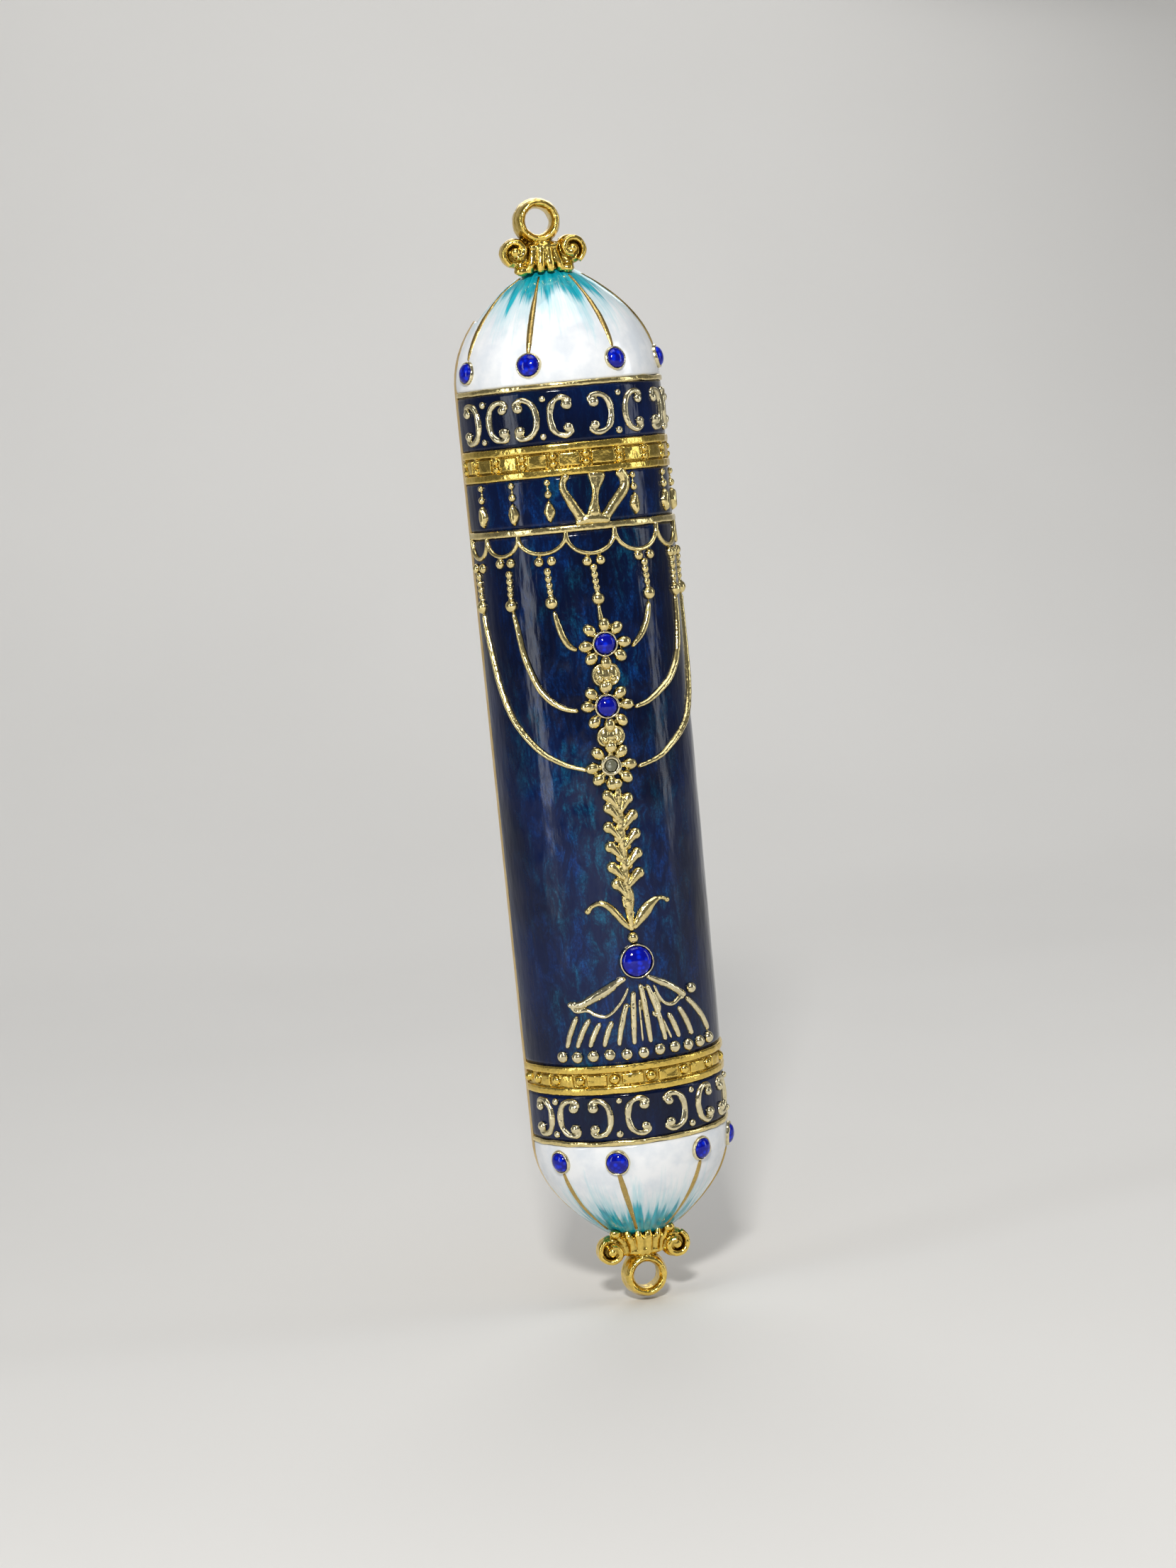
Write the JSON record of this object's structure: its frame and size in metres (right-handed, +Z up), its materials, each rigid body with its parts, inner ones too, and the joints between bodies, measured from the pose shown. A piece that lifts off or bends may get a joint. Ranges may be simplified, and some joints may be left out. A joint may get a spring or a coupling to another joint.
{
  "type": "mezuzah case",
  "caption": "Narrow half-round enamelled metal case with domed ends, nail rings and a sliding back cover, holding a rolled parchment for fixing on a doorpost.",
  "frame": {"origin": "middle of the flat back, at the height midway between the two nail holes", "axes": "+Z up the case, +Y out of the back towards the doorpost, +X to the right as seen from the front"},
  "size_m": [0.0268, 0.0139, 0.1372],
  "materials": {
    "bright_gold": "polished, gold plated",
    "antique_gold": "worn, gold plated",
    "cover_metal": "satin, gold plated",
    "navy_enamel": "glossy translucent enamel",
    "white_enamel": "glossy pearl enamel, blue-green towards the tips",
    "blue_stone": "polished dome",
    "grey_stone": "polished dome",
    "parchment": "matte",
    "clear_film": "clear"
  },
  "bodies": {
    "case": {"case_shell": "antique_gold", "upper_hanger": "bright_gold", "lower_hanger": "bright_gold", "scroll": "parchment", "scroll_wrapper": "clear_film", "body_enamel": "navy_enamel", "lantern_enamel": "navy_enamel", "upper_frieze_enamel": "navy_enamel", "lower_frieze_enamel": "navy_enamel", "upper_dome_enamel": "white_enamel", "lower_dome_enamel": "white_enamel", "upper_dome_rim": "antique_gold", "lower_dome_rim": "antique_gold", "upper_band": "bright_gold", "lower_band": "bright_gold", "upper_band_plates": "bright_gold", "lower_band_plates": "bright_gold", "upper_band_beads": "bright_gold", "lower_band_beads": "bright_gold", "upper_scrolls": "antique_gold", "lower_scrolls": "antique_gold", "upper_scroll_dots": "antique_gold", "lower_scroll_dots": "antique_gold", "upper_dome_ribs": "antique_gold", "lower_dome_ribs": "antique_gold", "upper_dome_bezels": "antique_gold", "lower_dome_bezels": "antique_gold", "upper_dome_stones": "blue_stone", "lower_dome_stones": "blue_stone", "lantern_drops": "antique_gold", "crown_ornament": "antique_gold", "gallery_rail": "antique_gold", "arcade_wires": "antique_gold", "arcade_beads": "antique_gold", "branch_beads": "antique_gold", "lamp_branches": "antique_gold", "centre_shaft": "antique_gold", "flower_petals": "antique_gold", "flower_bezels": "antique_gold", "flower_stones": "blue_stone", "flower_clear_stone": "grey_stone", "stem_knops": "antique_gold", "wheat_stem": "antique_gold", "wheat_grains": "antique_gold", "stem_leaves": "antique_gold", "stem_bead": "antique_gold", "foot_bezel": "antique_gold", "foot_stone": "blue_stone", "foot_leaves": "antique_gold", "foot_ribs": "antique_gold", "foot_beads": "antique_gold"},
    "cover": {"back_cover": "cover_metal"}
  },
  "joints": [
    {"name": "cover_slide", "type": "slide", "parent": "case", "child": "cover", "axis": [0, 0, 1], "range_m": [0, 0.104]}
  ]
}
